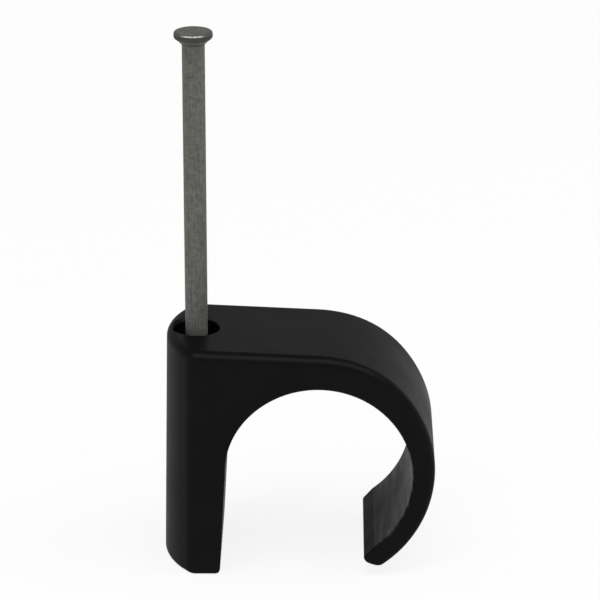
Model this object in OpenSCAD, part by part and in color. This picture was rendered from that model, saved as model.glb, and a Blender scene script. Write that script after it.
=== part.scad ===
// Nail-in clip that holds one round cable against a wall
// The nail axis is Z, the wall face of the foot is Z = 0, and the hook reaches towards +X

/* [Cable seat] */
// Diameter of the largest cable
cable_d = 20; // [16:0.5:22]
// Radial play of that cable in the seat
seat_play = 0.5; // [0.3:0.05:0.8]
// Height of the seat axis above the wall, less half the cable
seat_rise = 1.9; // [1.4:0.05:2.4]
// How much tighter the seat curves beside the leg
shoulder_step = 1; // [0.6:0.1:1.4]
// Nail axis to the cable side of the leg
leg_t = 3.3; // [3.1:0.05:3.8]
// Slant of the cable side of the leg, in degrees
leg_slant = 3.5; // [1:0.25:4]

/* [Arch and hook] */
// Width of the clip along the cable
clip_w = 16.5; // [12:0.5:20]
// Mean wall of the arch
arch_wall = 3.2; // [2.8:0.05:3.8]
// Lift of the outer curve, which thickens the top and thins the hook
arch_lift = 0.45; // [0.2:0.05:0.7]
// Shift of the outer curve towards the leg
arch_shift = 0.7; // [0.4:0.05:0.9]
// Fall of the flat top towards the arch, in degrees
top_slope = 2.5; // [1:0.25:4]
// Rounding of the outer edges
edge_r = 1.3; // [0.9:0.05:1.4]
// Radius of the nose of the hook
nose_r = 1.45; // [1.4:0.05:1.6]
// Where the hook ends, in degrees below the horizontal
nose_angle = 54.25; // [50:0.25:58]
// Nose centre to the lead-in flat
lead_in = 0.75; // [0.75:0.05:1.1]
// Broken edge where the seat meets the flat faces
seat_break = 0.2; // [0.1:0.05:0.4]

/* [Column] */
// Nail axis to the rounded end of the column, at the top
end_reach = 3.3; // [3.2:0.05:4]
// Plan radius of the rounded end
end_r = 13; // [11:0.5:16]
// Outward flare of the rounded end towards the foot, in degrees
end_flare = 1; // [0:0.25:2]
// Rounding of the upright edges beside the rounded end
corner_r = 1; // [0.6:0.1:1.4]
// Rounding round the wall face of the foot
foot_r = 0.5; // [0.2:0.05:0.8]

/* [Nail] */
// Shank diameter
nail_d = 2.5; // [2:0.05:2.6]
// Length under the head
nail_l = 50; // [44:1:56]
// Head diameter
head_d = 4.3; // [3.9:0.05:4.6]
// Head thickness
head_t = 0.85; // [0.6:0.05:1.1]
// Rounding of the head rim
head_edge_r = 0.15; // [0.1:0.05:0.3]
// Diameter of the neck cone under the head
neck_d = 3.5; // [3:0.05:3.7]
// Length of the neck cone
neck_l = 0.7; // [0.4:0.05:1]
// Length of the four sided point
point_l = 4; // [3:0.25:5]
// Height of the point above the wall, as supplied
point_rise = 10; // [6:0.2:12]

/* [Nail guide] */
// Radial running clearance of the shank
guide_fit = 0.05; // [0.03:0.01:0.09]
// Radial room round the head in the counterbore
head_room = 0.45; // [0.3:0.05:0.5]
// Depth of the counterbore below the top, on the nail axis
recess_depth = 2.6; // [1.8:0.1:4]
// Broken edge at the mouth of the counterbore
mouth_break = 0.2; // [0.1:0.05:0.3]

/* [Hidden] */
$fn = 72;
half_w = clip_w / 2;
seat_r = cable_d / 2 + seat_play;
seat_z = cable_d / 2 + seat_rise;
shoulder_r = seat_r - shoulder_step;
// The shoulder arc leaves the seat arc along a 3-4-5 direction
shoulder_dir = [-0.8, 0.6];
seat_x = leg_t + shoulder_r - shoulder_dir.x * shoulder_step;
shoulder_c = [seat_x, seat_z] + shoulder_dir * shoulder_step;
arch_r = seat_r + arch_wall;
arch_c = [seat_x - arch_shift, seat_z + arch_lift];
// The nose stands this far proud of the outer curve
nose_proud = 0.05;
nose_reach = arch_r - nose_r + nose_proud;
nose_c = arch_c + nose_reach * [cos(nose_angle), -sin(nose_angle)];
// The rounded end rises this far over the flat top before it is trimmed
end_over = 0.015;
// Height of the upright band at the top of the rounded end
end_band = 2;
// End radius axis, from the arch axis, measured along the top
end_axis = end_r - (end_reach + arch_c.x + arch_r * sin(top_slope)) / cos(top_slope);
// Depth of the outer forms below the arch axis, past the wall face
below = arch_c.y + end_reach;
// Plan radius of the rounded end at that depth
end_foot_r = end_r - (below + arch_r - end_band) * tan(top_slope - end_flare);
// Foot end of the column: where it lies on the wall, and its plan radius there
foot_r_plan = end_r - (arch_c.y + arch_r - end_band) * tan(top_slope - end_flare);
foot_left = end_reach + (arch_c.y + arch_r - end_band) * tan(end_flare) + end_band * tan(top_slope);
// Height of the flat top on the nail axis
top_z = arch_c.y + arch_r / cos(top_slope) + arch_c.x * tan(top_slope);
guide_r = nail_d / 2 + guide_fit;
recess_r = head_d / 2 + head_room;
head_z = point_rise + nail_l;
floor_z = top_z - recess_depth;
// How far a cut runs past the face that it opens
past = 1;

// Half section of the moulding, from a radius inwards, with both outer corners rounded
module rim_section(r, inner)
{
    intersection()
    {
        translate([inner, -half_w])
            square([r - inner, clip_w]);
        union()
        {
            translate([inner - edge_r, -half_w])
                square([r - inner, clip_w]);
            translate([inner, edge_r - half_w])
                square([r - inner, clip_w - 2 * edge_r]);
            for (side = [-1, 1])
                translate([r - edge_r, side * (half_w - edge_r)])
                    circle(edge_r);
        }
    }
}

// Frame of the arch axis, with its X axis along the flat top
module arch_frame()
{
    translate([arch_c.x, 0, arch_c.y])
        rotate([0, top_slope, 0])
            children();
}

// Flat top, arch and nose with their rounded outer edges
module outer_form()
{
    top_run = arch_c.x + 2 * end_reach;
    arch_frame()
        rotate([90, 0, 0])
        {
            translate([-top_run, 0, 0])
                rotate([90, 0, 90])
                    linear_extrude(top_run)
                        rim_section(arch_r, -below);
            rotate_extrude(angle = 180, start = top_slope - nose_angle)
                rim_section(arch_r, 0);
        }
    translate([nose_c.x, 0, nose_c.y])
        rotate([90, 0, 0])
            rotate_extrude()
                rim_section(nose_r, 0);
}

// Half section of the rounded end of the column
module end_section()
{
    band_z = arch_r - end_band;
    crest_z = arch_r + end_over;
    polygon([[0, -below], [end_foot_r, -below], [end_r, band_z], [0, band_z]]);
    translate([0, band_z])
        square([end_r, crest_z - edge_r - band_z]);
    translate([0, band_z])
        square([end_r - edge_r, crest_z - band_z]);
    translate([end_r - edge_r, crest_z - edge_r])
        circle(edge_r);
}

// Plan limit: the rounded end on the left, open to the right
module end_form()
{
    arch_frame()
    {
        translate([end_axis, 0, 0])
            rotate_extrude()
                end_section();
        translate([end_axis - end_r / 2, -clip_w, -below])
            cube([3 * end_r, 2 * clip_w, below + arch_r + past]);
    }
}

// What the rounding takes off one upright edge, in plan, with that edge at the origin
module corner_section()
{
    turn = 90 - asin(half_w / end_r);
    reach = corner_r * tan(turn / 2);
    end_point = reach * [-cos(turn), sin(turn)];
    centre = (corner_r - end_over) / cos(turn / 2) * [sin(turn / 2), cos(turn / 2)];
    difference()
    {
        polygon([
            [reach, 0], [reach, -past], [-past * tan(turn / 2), -past],
            end_point - past * [sin(turn), cos(turn)], end_point
        ]);
        translate(centre)
            circle(corner_r);
    }
}

// Upright edges where the rounded end meets the flat faces
module corner_cuts()
{
    edge_x = end_axis - sqrt(pow(end_r, 2) - pow(half_w, 2));
    foot_x = end_axis - sqrt(pow(end_foot_r, 2) - pow(half_w, 2));
    fall = below + arch_r - end_band;
    arch_frame()
        for (side = [0, 1])
            mirror([0, side, 0])
                translate([edge_x, -half_w, arch_r - end_band])
                    rotate([0, -atan2(foot_x - edge_x, fall), 0])
                        translate([0, 0, -fall - past])
                            linear_extrude(fall + end_band + 2 * past)
                                corner_section();
}

// Section across the foot, with both wall edges rounded
module foot_section()
{
    for (side = [-1, 1])
        translate([side * (half_w - foot_r), foot_r])
            circle(foot_r);
    translate([foot_r - half_w, 0])
        square([clip_w - 2 * foot_r, 2 * top_z]);
    translate([-half_w, foot_r])
        square([clip_w, 2 * top_z]);
}

// Half section of the foot end, with its wall edge rounded
module foot_end_section()
{
    translate([foot_r_plan - foot_r, foot_r])
        circle(foot_r);
    square([foot_r_plan - foot_r, 2 * top_z]);
    translate([0, foot_r])
        square([foot_r_plan + past, 2 * top_z]);
}

// Wall face with its rounded edges
module foot_form()
{
    run = 4 * end_r;
    intersection()
    {
        translate([-end_r, 0, 0])
            rotate([90, 0, 90])
                linear_extrude(run)
                    foot_section();
        union()
        {
            translate([foot_r_plan - foot_left, 0, 0])
                rotate_extrude()
                    foot_end_section();
            translate([0, -clip_w, 0])
                cube([run, 2 * clip_w, 2 * top_z]);
        }
    }
}

// Seat arc, shoulder arc beside the leg, and the mouth below them
module opening_section()
{
    leg_foot = leg_t - (shoulder_c.y + past) * tan(leg_slant);
    flat_sum = nose_c.x - nose_c.y - lead_in * sqrt(2);
    flat_top = nose_c.y + nose_r;
    difference()
    {
        translate([seat_x, seat_z])
            circle(seat_r);
        translate([seat_x, seat_z])
            rotate(atan2(shoulder_dir.y, shoulder_dir.x))
                square(2 * seat_r);
    }
    translate(shoulder_c)
        circle(shoulder_r);
    polygon([
        [leg_t, shoulder_c.y], [leg_foot, -past], [flat_sum - past, -past],
        [flat_sum + flat_top, flat_top]
    ]);
}

// Cones that break both round edges of an arc of the seat
module arc_break(c, r)
{
    for (side = [0, 180])
        rotate(side)
            translate([cos(side) * c.x, half_w - 2 * seat_break, c.y])
                rotate([-90, 0, 0])
                    cylinder(r1 = r - seat_break, r2 = r + seat_break + past, h = 2 * seat_break + past);
}

// Broken edges of the seat, the shoulder and the leg
module edge_breaks()
{
    difference()
    {
        arc_break([seat_x, seat_z], seat_r);
        translate([seat_x, clip_w, seat_z])
            rotate([90, 0, 0])
                rotate(atan2(shoulder_dir.y, shoulder_dir.x))
                    cube([2 * seat_r, 2 * seat_r, 2 * clip_w]);
    }
    arc_break(shoulder_c, shoulder_r);
    for (side = [-1, 1])
        translate([leg_t, side * half_w, shoulder_c.y])
            rotate([0, leg_slant, 0])
                rotate(45)
                    translate([0, 0, -shoulder_c.y])
                        cube([sqrt(2) * seat_break, sqrt(2) * seat_break, 2 * shoulder_c.y], center = true);
}

// Counterbore, lead-in cone and guide along the nail axis
module nail_way()
{
    translate([0, 0, -past])
        cylinder(r = guide_r, h = top_z + 2 * past);
    translate([0, 0, floor_z - neck_l])
        cylinder(r1 = guide_r, r2 = neck_d / 2 + guide_fit, h = neck_l);
    translate([0, 0, floor_z])
        cylinder(r = recess_r, h = recess_depth + past);
    translate([0, 0, top_z - mouth_break])
        cylinder(r1 = recess_r, r2 = recess_r + mouth_break + past, h = mouth_break + past);
}

module clip_body()
{
    color([0.09, 0.09, 0.09])
        difference()
        {
            intersection()
            {
                outer_form();
                end_form();
                foot_form();
            }
            translate([0, half_w + past, 0])
                rotate([90, 0, 0])
                    linear_extrude(clip_w + 2 * past)
                        opening_section();
            corner_cuts();
            edge_breaks();
            nail_way();
        }
}

// Half section of the head
module head_section()
{
    square([head_d / 2 - head_edge_r, head_t]);
    translate([0, head_edge_r])
        square([head_d / 2, head_t - 2 * head_edge_r]);
    for (z = [head_edge_r, head_t - head_edge_r])
        translate([head_d / 2 - head_edge_r, z])
            circle(head_edge_r);
}

module nail()
{
    color([0.55, 0.55, 0.53])
    {
        translate([0, 0, head_z])
            rotate_extrude()
                head_section();
        translate([0, 0, head_z - neck_l])
            cylinder(r1 = nail_d / 2, r2 = neck_d / 2, h = neck_l);
        translate([0, 0, point_rise + point_l])
            cylinder(r = nail_d / 2, h = nail_l - point_l);
        intersection()
        {
            translate([0, 0, point_rise])
                cylinder(r = nail_d / 2, h = point_l);
            translate([0, 0, point_rise])
                rotate(45)
                    cylinder(r1 = 0, r2 = nail_d * sqrt(2) / 2, h = point_l, $fn = 4);
        }
    }
}

clip_body();
nail();
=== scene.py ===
import logging
import math
from dataclasses import dataclass, field
from enum import Enum

import bmesh
import bpy
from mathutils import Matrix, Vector, noise


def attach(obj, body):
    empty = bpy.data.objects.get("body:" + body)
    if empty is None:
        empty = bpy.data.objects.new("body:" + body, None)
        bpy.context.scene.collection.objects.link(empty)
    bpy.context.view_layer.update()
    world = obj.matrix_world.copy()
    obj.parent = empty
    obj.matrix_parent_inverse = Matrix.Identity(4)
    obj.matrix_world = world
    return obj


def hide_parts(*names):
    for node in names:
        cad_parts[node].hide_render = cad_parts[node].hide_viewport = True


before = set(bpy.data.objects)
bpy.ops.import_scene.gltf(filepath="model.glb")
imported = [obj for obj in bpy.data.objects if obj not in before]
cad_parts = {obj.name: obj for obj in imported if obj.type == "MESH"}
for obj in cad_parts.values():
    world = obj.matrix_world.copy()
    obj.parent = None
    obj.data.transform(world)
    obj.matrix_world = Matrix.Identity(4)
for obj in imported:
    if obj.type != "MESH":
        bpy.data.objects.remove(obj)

MM = 0.001
LOG = logging.getLogger("cable_clip")


class Edge(Enum):
    """Kinds of edge on the moulding, each with how far its rounding reaches from the edge, in mm."""

    OUTER = 1.3
    END = 0.95
    UPRIGHT = 0.9
    FOOT = 0.5
    SEAT = 0.1
    HOOK = 0.38
    LIP = 0.15
    TIP = 0.4
    NOSE = 0.6
    TIP_LINE = 0.3
    TOE = 0.7


class Graph:
    """A node tree of a material or a world, with short calls to add nodes and join them."""

    def __init__(self, owner: bpy.types.Material | bpy.types.World) -> None:
        """Start with an empty tree.

        Args:
            owner: The material or world that holds the tree.
        """
        owner.use_nodes = True
        self.owner = owner
        self.tree = owner.node_tree
        self.tree.nodes.clear()

    def add(self, kind: str, **inputs: object) -> bpy.types.Node:
        """Add a node, set its properties and fill its sockets.

        Args:
            kind: Blender's name of the node type.
            **inputs: Properties of the node, or sockets by name with blanks as
                underscores. A socket value is joined and anything else is set.

        Returns:
            The new node.
        """
        node = self.tree.nodes.new(kind)
        for key, value in inputs.items():
            socket = node.inputs.get(key.replace("_", " "))
            if socket is None:
                setattr(node, key, value)
            else:
                self.feed(socket, value)
        return node

    def feed(self, socket: bpy.types.NodeSocket, value: object) -> None:
        """Join a socket to another one, or set its value.

        Args:
            socket: The input to fill.
            value: An output socket, or a plain value.
        """
        if isinstance(value, bpy.types.NodeSocket):
            self.tree.links.new(value, socket)
        else:
            socket.default_value = value

    def maths(self, operation: str, *values: object) -> bpy.types.NodeSocket:
        """Add a Math node.

        Args:
            operation: Name of the operation.
            *values: Its operands, sockets or numbers.

        Returns:
            The result's socket.
        """
        node = self.add("ShaderNodeMath", operation=operation)
        for socket, value in zip(node.inputs, values):
            self.feed(socket, value)
        return node.outputs[0]

    def millimetres(self, scale: tuple[float, float, float] = (1, 1, 1)) -> bpy.types.NodeSocket:
        """Give the object's own coordinates in millimetres.

        Args:
            scale: Extra stretch of each axis.

        Returns:
            The vector's socket.
        """
        place = self.add("ShaderNodeTexCoord").outputs["Object"]
        stretch = tuple(s / MM for s in scale)
        return self.add("ShaderNodeMapping", Vector=place, Scale=stretch).outputs[0]

    def cloud(self, vector: bpy.types.NodeSocket, per_mm: float, detail: float = 2.0) -> bpy.types.NodeSocket:
        """Add a noise texture.

        Args:
            vector: Coordinates in millimetres.
            per_mm: Features per millimetre.
            detail: Octaves of finer noise.

        Returns:
            The noise's value, about 0.5 on average.
        """
        return self.add("ShaderNodeTexNoise", Vector=vector, Scale=per_mm, Detail=detail).outputs[0]

    def combine(self, operation: str, *values: object) -> bpy.types.NodeSocket:
        """Join any number of values by one operation.

        Args:
            operation: Name of the operation of the Math nodes.
            *values: The values, sockets or numbers.

        Returns:
            The result's socket.
        """
        result = values[0]
        for value in values[1:]:
            result = self.maths(operation, result, value)
        return result

    def span(
        self, value: object, low: float, high: float, to_low: float, to_high: float,
    ) -> bpy.types.NodeSocket:
        """Map a value's range smoothly onto another range.

        Args:
            value: Socket to map.
            low: Start of its range.
            high: End of its range.
            to_low: What the start becomes.
            to_high: What the end becomes.

        Returns:
            The mapped value's socket.
        """
        node = self.add("ShaderNodeMapRange", interpolation_type="SMOOTHSTEP", Value=value)
        for name, number in zip(("From Min", "From Max", "To Min", "To Max"), (low, high, to_low, to_high)):
            node.inputs[name].default_value = number
        return node.outputs[0]

    def blend(self, amount: object, first: object, second: object) -> bpy.types.NodeSocket:
        """Mix two colours.

        Args:
            amount: Share of the second colour.
            first: First colour, a socket or three numbers.
            second: Second colour, a socket or three numbers.

        Returns:
            The mixed colour's socket.
        """
        node = self.add("ShaderNodeMix", data_type="RGBA")
        self.feed(node.inputs[0], amount)
        for socket, colour in ((node.inputs[6], first), (node.inputs[7], second)):
            self.feed(socket, colour if isinstance(colour, bpy.types.NodeSocket) else (*colour, 1.0))
        return node.outputs[2]

    def distance(self, first: object, second: object) -> bpy.types.NodeSocket:
        """Give the length of two legs at right angles.

        Args:
            first: First leg.
            second: Second leg.

        Returns:
            The length's socket.
        """
        squares = (self.maths("MULTIPLY", first, first), self.maths("MULTIPLY", second, second))
        return self.maths("SQRT", self.maths("ADD", *squares))

    def close(self, output: str, shader: bpy.types.NodeSocket) -> object:
        """Join the finished shader to the output.

        Args:
            output: Blender's name of the output node.
            shader: The finished shader.

        Returns:
            The material or world.
        """
        self.add(output, Surface=shader)
        return self.owner


@dataclass(frozen=True)
class MouldedPlastic:
    """Satin black moulded plastic with a fine eroded grain and faint drag marks in the seat."""

    name: str = "black_plastic"
    deep: tuple[float, float, float] = (0.0022, 0.0022, 0.0023)
    pale: tuple[float, float, float] = (0.0034, 0.0034, 0.0034)
    worn: tuple[float, float, float] = (0.034, 0.034, 0.033)
    skin: float = 0.12
    skin_roughness: float = 0.36
    grain_per_mm: float = 7.0
    flow_per_mm: float = 0.22

    def seat_mask(self, graph: Graph, axis: tuple[float, float], radius: float) -> bpy.types.NodeSocket:
        """Mask the wall of the cable seat.

        Args:
            graph: The material's nodes.
            axis: X and Z of the seat's axis, in mm.
            radius: Radius of the seat, in mm.

        Returns:
            A value that is 1 on the seat and 0 elsewhere.
        """
        place = graph.add("ShaderNodeSeparateXYZ", Vector=graph.millimetres())
        across = graph.maths("SUBTRACT", place.outputs[0], axis[0])
        up = graph.maths("SUBTRACT", place.outputs[2], axis[1])
        off = graph.maths("ABSOLUTE", graph.maths("SUBTRACT", graph.distance(across, up), radius))
        wall = graph.span(off, 0.05, 0.2, 1.0, 0.0)
        start = graph.span(across, -0.78 * radius, -0.7 * radius, 0.0, 1.0)
        end = graph.span(up, -0.8 * radius, -0.73 * radius, 0.0, 1.0)
        return graph.combine("MULTIPLY", wall, start, end)

    def material(self, axis: tuple[float, float], radius: float) -> bpy.types.Material:
        """Make the finish.

        Args:
            axis: X and Z of the seat's axis, in mm.
            radius: Radius of the seat, in mm.

        Returns:
            The material.
        """
        graph = Graph(bpy.data.materials.new(self.name))
        place = graph.millimetres()
        grain = graph.cloud(place, self.grain_per_mm, 3.0)
        flow = graph.cloud(place, self.flow_per_mm, 4.0)
        drag = graph.cloud(graph.millimetres((1.0, 0.16, 1.0)), 1.0, 3.0)
        aside = graph.maths("ABSOLUTE", graph.add("ShaderNodeSeparateXYZ", Vector=place).outputs[1])
        marks = graph.span(drag, 0.36, 0.68, 0.0, 1.0)
        near_edge = graph.span(aside, 1.0, 8.2, 0.25, 1.0)
        streak = graph.combine("MULTIPLY", self.seat_mask(graph, axis, radius), marks, near_edge)
        tone = graph.blend(graph.span(flow, 0.3, 0.7, 0.0, 1.0), self.deep, self.pale)
        colour = graph.blend(streak, tone, self.worn)
        dull = graph.span(flow, 0.25, 0.75, 0.4, 0.52)
        rough = graph.maths("SUBTRACT", dull, graph.maths("MULTIPLY", streak, 0.1))
        height = graph.maths("ADD", grain, graph.maths("MULTIPLY", flow, 2.0))
        bump = graph.add("ShaderNodeBump", Strength=0.12, Distance=0.02 * MM, Height=height).outputs[0]
        shader = graph.add(
            "ShaderNodeBsdfPrincipled",
            Base_Color=colour,
            Roughness=rough,
            Normal=bump,
            Specular_IOR_Level=0.01,
            Coat_Weight=self.skin,
            Coat_Roughness=self.skin_roughness,
            Coat_IOR=1.5,
            Coat_Normal=bump,
        )
        return graph.close("ShaderNodeOutputMaterial", shader.outputs[0])


@dataclass(frozen=True)
class DullZinc:
    """Dull mottled zinc over drawn wire, burnished on the front of the head's rim, with a painted highlight
    there and painted shade under the head, in its neck, on its crown and round its rim.
    """

    dark: tuple[float, float, float] = (0.082, 0.082, 0.0755)
    light: tuple[float, float, float] = (0.158, 0.158, 0.147)
    # Colour of the painted highlight on the front of the head's rim.
    painted_highlight: tuple[float, float, float] = (0.6, 0.58, 0.56)
    # Colour of the painted shade under the head, in its neck, on its crown and round its rim.
    crease: tuple[float, float, float] = (0.035, 0.033, 0.03)
    metallic: float = 0.1
    mottle_per_mm: float = 1.6
    speck_per_mm: float = 7.0
    # Radii between which the rim is burnished and gets the painted highlight.
    rim_from: float = 1.99
    rim_to: float = 2.15

    def band(
        self, graph: Graph, value: bpy.types.NodeSocket, low: float, high: float,
    ) -> bpy.types.NodeSocket:
        """Mask a soft band of a value.

        Args:
            graph: The material's nodes.
            value: The value.
            low: Start of the band.
            high: End of the band.

        Returns:
            A value that is 1 in the middle of the band and 0 outside it.
        """
        middle = (low + high) / 2
        rise = graph.span(value, low, middle, 0.0, 1.0)
        return graph.maths("MULTIPLY", rise, graph.span(value, middle, high, 1.0, 0.0))

    def burnish_and_highlight(
        self, graph: Graph, spot: bpy.types.Node, speck: bpy.types.NodeSocket, rim_z: float,
    ) -> bpy.types.NodeSocket:
        """Mask the front of the head's rim, which is burnished and gets a painted highlight.

        Args:
            graph: The material's nodes.
            spot: Node that gives the place in mm, axis by axis.
            speck: The fine mottling.
            rim_z: Height of the head's top, in mm.

        Returns:
            A value that is 1 where the rim is burnished and the highlight is painted.
        """
        out = graph.distance(spot.outputs[0], spot.outputs[1])
        edge = self.band(graph, out, self.rim_from, self.rim_to)
        upper = graph.span(spot.outputs[2], rim_z - 0.28, rim_z - 0.18, 0.0, 1.0)
        patchy = graph.span(speck, 0.35, 0.6, 0.4, 1.0)
        # Only the front of the rim, the side facing the camera, gets the painted highlight.
        front = graph.span(spot.outputs[1], -1.95, -1.5, 1.0, 0.08)
        return graph.combine("MULTIPLY", edge, upper, patchy, front)

    def shade(
        self, graph: Graph, spot: bpy.types.Node, mottle: bpy.types.NodeSocket, rim_z: float,
    ) -> bpy.types.NodeSocket:
        """Mask the painted shade on the crown, round the rim, in the band under the rim and in the neck.

        Args:
            graph: The material's nodes.
            spot: Node that gives the place in mm, axis by axis.
            mottle: The coarse mottling.
            rim_z: Height of the head's top, in mm.

        Returns:
            How much painted shade the zinc gets, from 0 to 1.
        """
        height = spot.outputs[2]
        out = graph.distance(spot.outputs[0], spot.outputs[1])
        # Painted shade in the band below the rim and in the neck crease, where the head shades itself and the
        # shank.
        under = graph.maths("MULTIPLY", self.band(graph, height, rim_z - 0.62, rim_z - 0.2), 0.9)
        neck = graph.maths("MULTIPLY", self.band(graph, height, rim_z - 1.6, rim_z - 1.0), 0.6)
        # Painted shade on the crown and round the outer rim.
        flat = graph.span(height, rim_z - 0.03, rim_z - 0.01, 0.0, 0.4)
        crown = graph.maths("MULTIPLY", flat, graph.span(mottle, 0.3, 0.7, 1.2, 0.6))
        rim = graph.span(out, 1.85, 2.0, 0.0, 0.7)
        return graph.combine("MAXIMUM", under, neck, crown, rim)

    def material(self, rim_z: float) -> bpy.types.Material:
        """Make the finish.

        Args:
            rim_z: Height of the head's top, in mm.

        Returns:
            The material.
        """
        graph = Graph(bpy.data.materials.new("dull_zinc"))
        place = graph.millimetres()
        spot = graph.add("ShaderNodeSeparateXYZ", Vector=place)
        mottle = graph.cloud(place, self.mottle_per_mm, 4.0)
        speck = graph.cloud(place, self.speck_per_mm, 3.0)
        drawn = graph.cloud(graph.millimetres((9.0, 9.0, 0.25)), 1.0, 2.0)
        shares = ((mottle, 0.35), (drawn, 0.25), (speck, 0.4))
        mixed = graph.combine("ADD", *(graph.maths("MULTIPLY", cloud, share) for cloud, share in shares))
        zinc = graph.blend(graph.span(mixed, 0.36, 0.64, 0.0, 1.0), self.dark, self.light)
        burnish_and_highlight = self.burnish_and_highlight(graph, spot, speck, rim_z)
        # Painted shade: the zinc is mixed towards the dark crease colour where the shade mask is high.
        shaded = graph.blend(self.shade(graph, spot, mottle, rim_z), zinc, self.crease)
        dull = graph.span(mottle, 0.3, 0.7, 0.5, 0.65)
        height = graph.maths("ADD", graph.maths("MULTIPLY", speck, 0.8), graph.maths("MULTIPLY", drawn, 0.6))
        # The base colour takes the painted highlight on the rim's front; the lower roughness and higher
        # metallic there are the burnishing.
        shader = graph.add(
            "ShaderNodeBsdfPrincipled",
            Base_Color=graph.blend(burnish_and_highlight, shaded, self.painted_highlight),
            Roughness=graph.maths("SUBTRACT", dull, graph.maths("MULTIPLY", burnish_and_highlight, 0.25)),
            Metallic=graph.maths("ADD", graph.maths("MULTIPLY", burnish_and_highlight, 0.7), self.metallic),
            Normal=graph.add("ShaderNodeBump", Strength=0.35, Distance=0.02 * MM, Height=height).outputs[0],
            Specular_IOR_Level=0.1,
        )
        return graph.close("ShaderNodeOutputMaterial", shader.outputs[0])


@dataclass(frozen=True)
class PaleFloor:
    """Plain white studio floor that keeps a soft shadow."""

    colour: tuple[float, float, float] = (0.9, 0.9, 0.9)
    lift: float = 0.87

    def material(self) -> bpy.types.Material:
        """Make the finish: a matt white, lifted towards plain white where it is seen or mirrored.

        Returns:
            The material.
        """
        graph = Graph(bpy.data.materials.new("pale_floor"))
        path = graph.add("ShaderNodeLightPath")
        rays = ("Is Camera Ray", "Is Glossy Ray", "Is Transmission Ray")
        seen = graph.combine("MAXIMUM", *(path.outputs[ray] for ray in rays))
        matt = graph.add("ShaderNodeBsdfDiffuse", Color=(*self.colour, 1.0))
        white = graph.add("ShaderNodeEmission", Strength=1.0)
        mixed = graph.add("ShaderNodeMixShader")
        graph.feed(mixed.inputs[0], graph.maths("MULTIPLY", seen, self.lift))
        graph.feed(mixed.inputs[1], matt.outputs[0])
        graph.feed(mixed.inputs[2], white.outputs[0])
        return graph.close("ShaderNodeOutputMaterial", mixed.outputs[0])


@dataclass(frozen=True)
class Surround:
    """Studio surround, pale round the horizon and dimmer overhead."""

    horizon: float = 0.87
    overhead: float = 0.34
    start: float = 0.3
    end: float = 0.6

    def world(self) -> bpy.types.World:
        """Make the world.

        Returns:
            The world.
        """
        graph = Graph(bpy.data.worlds.new("surround"))
        way = graph.add("ShaderNodeTexCoord").outputs["Generated"]
        rise = graph.add("ShaderNodeSeparateXYZ", Vector=way).outputs[2]
        level = graph.span(rise, self.start, self.end, self.horizon, self.overhead)
        light = graph.add("ShaderNodeBackground", Color=(1.0, 1.0, 1.0, 1.0), Strength=level)
        return graph.close("ShaderNodeOutputWorld", light.outputs[0])


def lathe(profile: list[tuple[float, float]], steps: int) -> bmesh.types.BMesh:
    """Turn a profile round the Z axis into a closed mesh.

    Args:
        profile: Radius and height pairs in mm, from the lower to the upper end of the axis.
        steps: Faces round the axis.

    Returns:
        The mesh, in metres.
    """
    mesh = bmesh.new()
    rings = []
    for radius, height in profile:
        if radius < 1e-6:
            rings.append([mesh.verts.new((0, 0, height * MM))])
            continue
        turns = [2 * math.pi * k / steps for k in range(steps)]
        places = [(radius * math.cos(turn), radius * math.sin(turn)) for turn in turns]
        rings.append([mesh.verts.new((x * MM, y * MM, height * MM)) for x, y in places])
    for low, high in zip(rings, rings[1:]):
        for k in range(steps):
            n = (k + 1) % steps
            corners = [low[k % len(low)], low[n % len(low)], high[n % len(high)], high[k % len(high)]]
            mesh.faces.new(list(dict.fromkeys(corners)))
    return mesh


def arc(
    centre: tuple[float, float], radius: float, start: float, end: float, step: float, swell: float = 0.0,
) -> list[tuple[float, float]]:
    """Give points along a circular arc.

    Args:
        centre: Centre of the arc.
        radius: Its radius.
        start: Angle of its first point, in degrees.
        end: Angle of its last point, in degrees.
        step: Largest angle between points, in degrees.
        swell: How much the radius grows towards the middle of the arc.

    Returns:
        The points, both ends among them.
    """
    count = max(2, math.ceil(abs(end - start) / step) + 1)
    points = []
    for k in range(count):
        share = k / (count - 1)
        turn = math.radians(start + (end - start) * share)
        reach = radius + swell * math.sin(math.pi * share) ** 2
        points.append((centre[0] + reach * math.cos(turn), centre[1] + reach * math.sin(turn)))
    return points


def place_mesh(name: str, mesh: bmesh.types.BMesh) -> bpy.types.Object:
    """Make an object of a mesh and put it in the scene.

    Args:
        name: Name of the object.
        mesh: Its mesh, which is freed.

    Returns:
        The object.
    """
    bmesh.ops.recalc_face_normals(mesh, faces=mesh.faces)
    data = bpy.data.meshes.new(name)
    mesh.to_mesh(data)
    mesh.free()
    piece = bpy.data.objects.new(name, data)
    bpy.context.scene.collection.objects.link(piece)
    return piece


def bake_modifiers(piece: bpy.types.Object) -> None:
    """Replace a piece's mesh by what its modifiers make of it.

    Args:
        piece: The piece to change.
    """
    shape = bpy.data.meshes.new_from_object(piece.evaluated_get(bpy.context.evaluated_depsgraph_get()))
    piece.modifiers.clear()
    piece.data = shape


def smooth(piece: bpy.types.Object, crease: float) -> None:
    """Shade a piece smooth, with sharp creases and flat faces kept.

    Args:
        piece: The piece to shade.
        crease: Angle in degrees from which an edge stays sharp.
    """
    piece.data.shade_smooth()
    piece.data.set_sharp_from_angle(angle=math.radians(crease))
    weighted = piece.modifiers.new("flat_faces", "WEIGHTED_NORMAL")
    weighted.keep_sharp = True
    weighted.weight = 60


@dataclass(frozen=True)
class Corner:
    """A corner of the clip's side outline and the reach of the rounding there, in mm."""

    x: float
    z: float
    reach: float


def grade(points: list[tuple[float, float]], first: Edge, last: Edge) -> list[Corner]:
    """Round the side edges along a run of points, evenly from one kind of edge to another.

    Args:
        points: X and Z of the points, in mm.
        first: Kind of edge at the first point.
        last: Kind of edge at the last point.

    Returns:
        The points as corners.
    """
    rise = (last.value - first.value) / (len(points) - 1)
    return [Corner(x, z, first.value + rise * k) for k, (x, z) in enumerate(points)]


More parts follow.
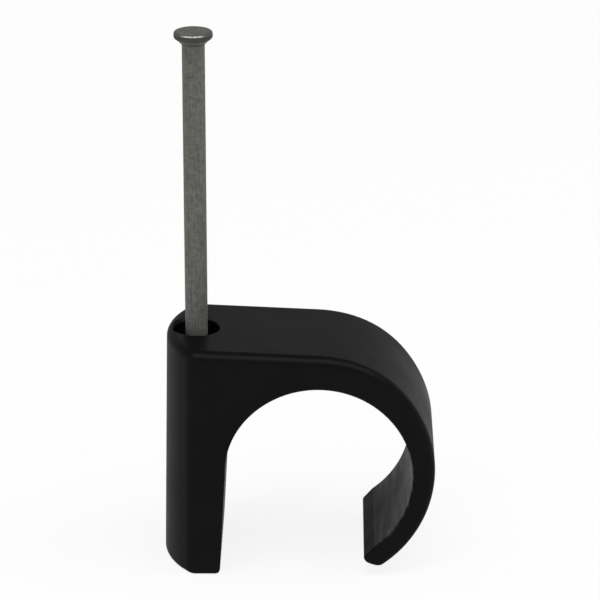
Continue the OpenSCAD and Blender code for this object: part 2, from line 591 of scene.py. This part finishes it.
@dataclass
class ClipBody:
    """The moulded clip: nail column, arch and hook, in mm."""

    finish: MouldedPlastic
    lip_finish: MouldedPlastic
    half_w: float = 8.25
    seat_axis: tuple[float, float] = (13.6, 11.9)
    seat_r: float = 10.5
    shoulder_axis: tuple[float, float] = (12.8, 12.5)
    shoulder_r: float = 9.5
    shoulder_angle: float = 143.13
    ease_angle: float = 25.0
    grip_angle: float = -8.0
    seat_end: float = -53.2
    leg_t: float = 3.3
    leg_slant: float = 3.1
    arch_axis: tuple[float, float] = (12.9, 12.35)
    arch_r: float = 13.7
    arch_swell: float = 0.13
    top_slope: float = 2.5
    nose_r: float = 1.45
    nose_angle: float = 54.25
    nose_land: float = 26.0
    nose_flat: float = 0.22
    lead_in: float = 0.77
    end_reach: float = 3.3
    end_r: float = 13.0
    foot_end_r: float = 12.37
    foot_reach: float = 3.807
    guide_r: float = 1.3
    neck_r: float = 1.8
    neck_l: float = 0.7
    recess_r: float = 2.6
    recess_depth: float = 2.6
    mouth_break: float = 0.2
    across: int = 14
    corner_room: float = 1.65
    spoke_room: float = 0.25
    flat_room: float = 0.05
    outline: list[Corner] = field(default_factory=list)
    graded: range = range(0)
    tip: int = 0

    def top_at(self, x: float) -> float:
        """Give the height of the flat top at a place along X."""
        slope = math.radians(self.top_slope)
        rise = self.arch_axis[1] + self.arch_r / math.cos(slope)
        return rise + (self.arch_axis[0] - x) * math.tan(slope)

    def nose_axis(self) -> tuple[float, float]:
        """Give the centre of the hook's nose."""
        reach, turn = self.arch_r - self.nose_r, math.radians(self.nose_angle)
        return self.arch_axis[0] + reach * math.cos(turn), self.arch_axis[1] - reach * math.sin(turn)

    def trace(self) -> None:
        """Trace the side outline from the foot of the leg, round the hook, to the flat top."""
        foot = self.leg_t - self.shoulder_axis[1] * math.tan(math.radians(self.leg_slant))
        legs = [(foot + (self.leg_t - foot) * k / 4, self.shoulder_axis[1] * k / 4) for k in range(4)]
        shoulder = arc(self.shoulder_axis, self.shoulder_r, 180, self.shoulder_angle, 3)
        seat = arc(self.seat_axis, self.seat_r, self.shoulder_angle, self.ease_angle, 3)
        side = arc(self.seat_axis, self.seat_r, self.ease_angle, self.grip_angle, 3)
        hook = arc(self.seat_axis, self.seat_r, self.grip_angle, self.seat_end, 3)
        nose = self.nose()
        outer = arc(self.arch_axis, self.arch_r, -self.nose_angle, self.ease_angle, 3)
        arch = arc(self.arch_axis, self.arch_r, self.ease_angle, 90 - self.top_slope, 3, self.arch_swell)
        inside = grade(legs + shoulder[:-1] + seat[:-1], Edge.SEAT, Edge.SEAT)
        lower = grade(side[:-1], Edge.SEAT, Edge.HOOK) + grade(hook, Edge.HOOK, Edge.LIP)
        end = grade(nose[:-1], Edge.TIP, Edge.NOSE) + grade(outer[:-1], Edge.NOSE, Edge.OUTER)
        self.outline = inside + lower + end + grade(arch, Edge.OUTER, Edge.OUTER)
        self.tip = len(inside + lower)
        self.graded = range(len(inside) - 3, len(inside + lower + end) + 4)

    def nose(self) -> list[tuple[float, float]]:
        """Give the points of the nose from the lip to the arch, a little flattened underneath.

        Returns:
            X and Z of the points.
        """
        axis = self.nose_axis()
        lip = 135 + math.degrees(math.acos(self.lead_in / self.nose_r))
        end = 360 - self.nose_angle
        turns = [lip] + [lip + self.nose_land + (end - lip - self.nose_land) * k / 10 for k in range(11)]
        points = []
        for turn in turns:
            radius = self.nose_r - self.nose_flat * math.sin(math.pi * (turn - lip) / (end - lip)) ** 2
            points.append(arc(axis, radius, turn, end, 360)[0])
        return points

    def spoke(self, k: int) -> tuple[float, float]:
        """Give the point in the side face that lies just past the rounding of a corner.

        Args:
            k: Place of the corner in the outline.

        Returns:
            X and Z of the point.
        """
        before, here, after = self.outline[k - 1:k + 2]
        first = Vector((here.x - before.x, here.z - before.z)).normalized()
        second = Vector((after.x - here.x, after.z - here.z)).normalized()
        inward = (first + second).orthogonal().normalized()
        depth = (here.reach + self.spoke_room) / inward.dot(second.orthogonal())
        return here.x + inward.x * depth, here.z + inward.y * depth

    def end_x(self, y: float, share: float) -> float:
        """Give the place of the rounded column end.

        Args:
            y: Place across the clip.
            share: Height as a share of the column, 0 at the foot and 1 at the top.

        Returns:
            Its X.
        """
        radius = self.foot_end_r + (self.end_r - self.foot_end_r) * share
        reach = self.foot_reach + (self.end_reach - self.foot_reach) * share
        return -reach + radius - math.sqrt(radius**2 - y**2)

    def cage(self) -> bmesh.types.BMesh:
        """Build the moulding with sharp edges, each weighted by its rounding.

        Returns:
            The mesh, in metres.
        """
        mesh = bmesh.new()
        weight = mesh.edges.layers.float.new("bevel_weight_edge")

        def vert(x: float, y: float, z: float) -> bmesh.types.BMVert:
            """Add a corner, given in mm."""
            return mesh.verts.new((x * MM, y * MM, z * MM))

        def mark(first: bmesh.types.BMVert, second: bmesh.types.BMVert, reach: float) -> None:
            """Weight the edge between two corners."""
            mesh.edges.get((first, second))[weight] = reach

        inner_w = self.half_w - self.corner_room
        middle = [inner_w * (2 * k / self.across - 1) for k in range(self.across + 1)]
        ys = [-self.half_w, *middle, self.half_w]
        rows = []
        for share in (0.0, 0.25, 0.5, 0.75, 1.0):
            xs = [self.end_x(y, share) for y in ys]
            rows.append([vert(x, y, self.top_at(x) * share) for x, y in zip(xs, ys)])
        for low, high in zip(rows, rows[1:]):
            for k in range(len(ys) - 1):
                mesh.faces.new((low[k], low[k + 1], high[k + 1], high[k]))
        rims = [[vert(c.x, y, c.z) for c in self.outline] for y in (-self.half_w, self.half_w)]
        for a, b, c, d in zip(rims[0], rims[0][1:], rims[1][1:], rims[1]):
            mesh.faces.new((a, b, c, d))
        mesh.faces.new([rims[0][-1], rims[1][-1]] + rows[-1][::-1])
        mesh.faces.new([rims[0][0], rims[1][0]] + rows[0][::-1])
        for rim, last in ((rims[0], 0), (rims[1], -1)):
            y = rim[0].co.y / MM
            spokes = [vert(x, y, z) for x, z in (self.spoke(k) for k in self.graded)]
            start, stop = self.graded[0], self.graded[-1]
            for a, b, c, d in zip(rim[start:], rim[start + 1:], spokes[1:], spokes):
                mesh.faces.new((a, b, c, d))
            mesh.faces.new(spokes)
            column = [row[last] for row in rows[::-1]]
            mesh.faces.new(rim[:start + 1] + [spokes[0], spokes[-1]] + rim[stop:] + column)
            for (a, b), (p, q) in zip(zip(rim, rim[1:]), zip(self.outline, self.outline[1:])):
                mark(a, b, (p.reach + q.reach) / 2)
            mark(rim[-1], rows[-1][last], Edge.OUTER.value)
            mark(rim[0], rows[0][last], Edge.FOOT.value)
            for low, high in zip(rows, rows[1:]):
                mark(low[last], high[last], Edge.UPRIGHT.value)
        for k in range(len(ys) - 1):
            mark(rows[-1][k], rows[-1][k + 1], Edge.END.value)
            mark(rows[0][k], rows[0][k + 1], Edge.FOOT.value)
        mark(rims[0][0], rims[1][0], Edge.TOE.value)
        mark(rims[0][self.tip], rims[1][self.tip], Edge.TIP_LINE.value)
        return mesh

    def nail_way(self) -> bpy.types.Object:
        """Build the tool that opens the counterbore and the guide.

        Returns:
            The tool as an object.
        """
        top = self.top_at(0)
        floor = top - self.recess_depth
        flare = self.mouth_break + 2
        return place_mesh("nail_way", lathe([
            (0, -3), (self.guide_r, -3), (self.guide_r, floor - self.neck_l), (self.neck_r, floor),
            (self.recess_r, floor), (self.recess_r, top - self.mouth_break),
            (self.recess_r + flare, top - self.mouth_break + flare), (0, top - self.mouth_break + flare),
        ], 72))

    def build(self) -> bpy.types.Object:
        """Build the moulding, round its edges and open the nail way.

        Returns:
            The clip as a piece.
        """
        self.trace()
        clip = place_mesh("clip_moulding", self.cage())
        rounding = clip.modifiers.new("rounding", "BEVEL")
        rounding.limit_method = "WEIGHT"
        rounding.width = 1.0 * MM
        rounding.segments = 8
        rounding.use_clamp_overlap = False
        bake_modifiers(clip)
        tool = self.nail_way()
        opening = clip.modifiers.new("nail_way", "BOOLEAN")
        opening.object = tool
        opening.solver = "MANIFOLD"
        bake_modifiers(clip)
        bpy.data.objects.remove(tool)
        return clip

    def on_lead_in(self, place: Vector) -> bool:
        """Tell whether a place lies on the lead-in flat.

        Args:
            place: A place on the clip, in mm.

        Returns:
            True on the flat.
        """
        high, low = self.outline[self.tip - 1], self.outline[self.tip]
        edge = Vector((high.x - low.x, high.z - low.z))
        reach = Vector((place.x - low.x, place.z - low.z))
        level = abs(reach.dot(edge.orthogonal().normalized())) < self.flat_room
        return level and 0 < reach.dot(edge) < edge.length_squared

    def dress(self, clip: bpy.types.Object) -> None:
        """Give the clip its finish and its place on the frame.

        Args:
            clip: The piece to dress.
        """
        clip.data.materials.clear()
        for finish in (self.finish, self.lip_finish):
            clip.data.materials.append(finish.material(self.seat_axis, self.seat_r))
        for face in clip.data.polygons:
            face.material_index = int(self.on_lead_in(face.center / MM))
        smooth(clip, 35)
        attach(clip, "clip")
        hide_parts("clip_body")


@dataclass
class WireNail:
    """The galvanised wire nail with its upset head, in mm."""

    finish: DullZinc
    radius: float = 1.25
    point_z: float = 10.0
    point_l: float = 4.0
    head_z: float = 60.0
    head_t: float = 0.85
    neck_l: float = 0.7
    unround: float = 0.012
    head_form: tuple[tuple[float, float], ...] = (
        (1.3, -0.59), (1.42, -0.44), (1.62, -0.255), (1.79, -0.06), (1.9, -0.025),
        (2.05, 0.08), (2.125, 0.2), (2.15, 0.32), (2.15, 0.46), (2.14, 0.58),
        (2.115, 0.67), (2.07, 0.75), (2.0, 0.805), (1.92, 0.835), (1.8, 0.847),
    )
    crown_rings: tuple[float, ...] = (1.2, 0.5, 0.0)
    point_rings: int = 8
    shank_rings: int = 18
    shank_gap: float = 2.5
    steps: int = 64

    def profile(self) -> list[tuple[float, float]]:
        """Give the nail's half section from the point up to the middle of the head.

        Returns:
            Radius and height pairs.
        """
        top = self.head_z + self.head_t
        shank_z = self.point_z + self.point_l
        rises = [self.point_z + self.point_l * k / self.point_rings for k in range(1, self.point_rings)]
        rises += [shank_z + self.shank_gap * k for k in range(self.shank_rings)]
        shaft = [(self.radius, rise) for rise in rises + [self.head_z - self.neck_l]]
        head = [(radius, self.head_z + rise) for radius, rise in self.head_form]
        return [(0, self.point_z)] + shaft + head + [(radius, top) for radius in self.crown_rings]

    def squeeze(self, place: Vector) -> float:
        """Give how far a place is drawn in towards the axis.

        Args:
            place: A place on the turned nail, in mm.

        Returns:
            Its new distance from the axis, as a share of the old one.
        """
        turn = math.atan2(place.y, place.x)
        if place.z > self.head_z - 0.01:
            wave = noise.noise(Vector((math.cos(turn) * 1.3, math.sin(turn) * 1.3, 4.2)))
            return 1 - self.unround * (0.5 + 0.5 * wave)
        side = (turn + math.pi / 4) % (math.pi / 2) - math.pi / 4
        return min(1.0, (place.z - self.point_z) / self.point_l / math.cos(side))

    def build(self) -> bpy.types.Object:
        """Turn the nail, cut its point to four sides and leave its head a little out of round.

        Returns:
            The nail as a piece.
        """
        mesh = lathe(self.profile(), self.steps)
        for corner in mesh.verts:
            share = self.squeeze(corner.co / MM)
            corner.co.x *= share
            corner.co.y *= share
        return place_mesh("wire_nail", mesh)

    def dress(self, nail: bpy.types.Object) -> None:
        """Give the nail its finish and its place on the frame.

        Args:
            nail: The piece to dress.
        """
        nail.data.materials.append(self.finish.material(self.head_z + self.head_t))
        smooth(nail, 50)
        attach(nail, "nail")
        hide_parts("nail")


@dataclass
class Studio:
    """Pale floor, soft lamp, surround and the camera."""

    floor: PaleFloor
    surround: Surround
    target: tuple[float, float, float] = (11.53, 0.0, 29.86)
    distance: float = 366.67
    azimuth: float = 0.6
    elevation: float = 20.75
    lens: float = 198.0
    lamp_place: tuple[float, float, float] = (0.1, -0.2, 0.75)
    lamp_size: tuple[float, float] = (1.3, 0.4)
    lamp_power: float = 5.5
    floor_size: float = 4.0
    floor_gap: float = 0.02

    def lay_floor(self) -> bpy.types.Object:
        """Lay the floor under the clip.

        Returns:
            The floor.
        """
        mesh = bmesh.new()
        bmesh.ops.create_grid(mesh, x_segments=1, y_segments=1, size=self.floor_size)
        floor = place_mesh("floor", mesh)
        floor.location.z = -self.floor_gap * MM
        floor.data.materials.append(self.floor.material())
        return floor

    def light(self) -> None:
        """Light the clip softly from a long lamp overhead, in a pale surround."""
        data = bpy.data.lights.new("overhead", "AREA")
        data.shape = "RECTANGLE"
        data.size, data.size_y = self.lamp_size
        data.energy = self.lamp_power
        lamp = bpy.data.objects.new("overhead", data)
        lamp.location = self.lamp_place
        lamp.rotation_euler = (Vector(self.target) * MM - lamp.location).to_track_quat("-Z", "Y").to_euler()
        bpy.context.scene.collection.objects.link(lamp)
        bpy.context.scene.world = self.surround.world()

    def aim(self) -> None:
        """Set the camera at the viewing angle."""
        data = bpy.data.cameras.new("camera")
        data.lens = self.lens
        data.sensor_width = 36.0
        data.clip_start, data.clip_end = 0.01, 20.0
        camera = bpy.data.objects.new("camera", data)
        turn, rise = math.radians(self.azimuth), math.radians(self.elevation)
        back = Vector((math.sin(turn) * math.cos(rise), -math.cos(turn) * math.cos(rise), math.sin(rise)))
        camera.location = (Vector(self.target) + back * self.distance) * MM
        camera.rotation_euler = (-back).to_track_quat("-Z", "Y").to_euler()
        bpy.context.scene.collection.objects.link(camera)
        bpy.context.scene.camera = camera
        bpy.context.scene.view_settings.view_transform = "Standard"


def main() -> None:
    """Build the studio and the two pieces."""
    logging.basicConfig(level=logging.INFO, format="%(name)s: %(message)s")
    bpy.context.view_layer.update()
    studio = Studio(PaleFloor(), Surround())
    studio.aim()
    studio.lay_floor()
    studio.light()
    lip_finish = MouldedPlastic("dull_black_plastic", skin=0.02)
    for maker in (ClipBody(MouldedPlastic(), lip_finish), WireNail(DullZinc())):
        piece = maker.build()
        maker.dress(piece)
        LOG.info("%s has %d faces", piece.name, len(piece.data.polygons))


if __name__ == "__main__":
    main()
